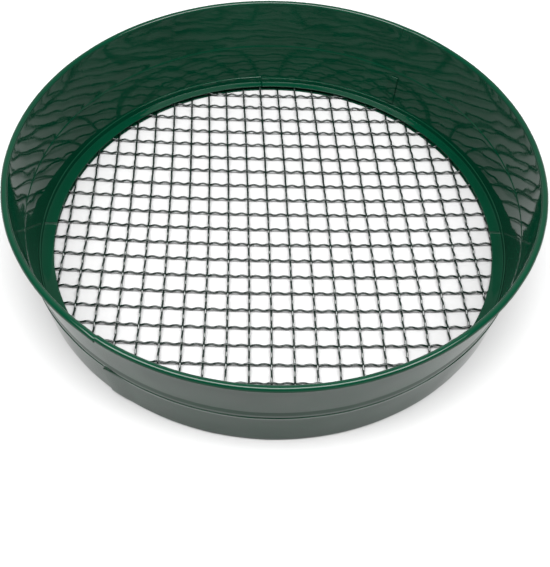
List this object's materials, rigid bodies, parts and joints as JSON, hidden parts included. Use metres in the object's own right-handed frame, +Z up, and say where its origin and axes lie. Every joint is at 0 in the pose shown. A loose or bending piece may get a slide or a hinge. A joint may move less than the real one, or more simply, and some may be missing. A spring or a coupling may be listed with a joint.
{
  "type": "soil sieve",
  "caption": "Round garden soil sieve: a tapered painted sheet-steel hoop with a rolled rim, a stepped collar and a woven wire mesh clamped at the foot.",
  "frame": {"origin": "centre of the foot, on the ground", "axes": "+Z up along the hoop's axis, +Y away from the viewer, +X to the viewer's right"},
  "size_m": [0.37, 0.37, 0.08],
  "materials": {
    "painted_sheet": "gloss",
    "painted_wire": "gloss",
    "rim_wire": "satin"
  },
  "bodies": {
    "root": {"hoop_half_left": "painted_sheet", "hoop_half_right": "painted_sheet", "collar_half_left": "painted_sheet", "collar_half_right": "painted_sheet", "clamp_ring_back_right": "painted_sheet", "clamp_ring_back_left": "painted_sheet", "clamp_ring_front_left": "painted_sheet", "clamp_ring_front_right": "painted_sheet", "rim_wire": "rim_wire", "warp_wire_01": "painted_wire", "warp_wire_02": "painted_wire", "warp_wire_03": "painted_wire", "warp_wire_04": "painted_wire", "warp_wire_05": "painted_wire", "warp_wire_06": "painted_wire", "warp_wire_07": "painted_wire", "warp_wire_08": "painted_wire", "warp_wire_09": "painted_wire", "warp_wire_10": "painted_wire", "warp_wire_11": "painted_wire", "warp_wire_12": "painted_wire", "warp_wire_13": "painted_wire", "warp_wire_14": "painted_wire", "warp_wire_15": "painted_wire", "warp_wire_16": "painted_wire", "warp_wire_17": "painted_wire", "warp_wire_18": "painted_wire", "warp_wire_19": "painted_wire", "warp_wire_20": "painted_wire", "warp_wire_21": "painted_wire", "warp_wire_22": "painted_wire", "weft_wire_01": "painted_wire", "weft_wire_02": "painted_wire", "weft_wire_03": "painted_wire", "weft_wire_04": "painted_wire", "weft_wire_05": "painted_wire", "weft_wire_06": "painted_wire", "weft_wire_07": "painted_wire", "weft_wire_08": "painted_wire", "weft_wire_09": "painted_wire", "weft_wire_10": "painted_wire", "weft_wire_11": "painted_wire", "weft_wire_12": "painted_wire", "weft_wire_13": "painted_wire", "weft_wire_14": "painted_wire", "weft_wire_15": "painted_wire", "weft_wire_16": "painted_wire", "weft_wire_17": "painted_wire", "weft_wire_18": "painted_wire", "weft_wire_19": "painted_wire", "weft_wire_20": "painted_wire", "weft_wire_21": "painted_wire", "weft_wire_22": "painted_wire", "weft_wire_23": "painted_wire"}
  },
  "joints": []
}
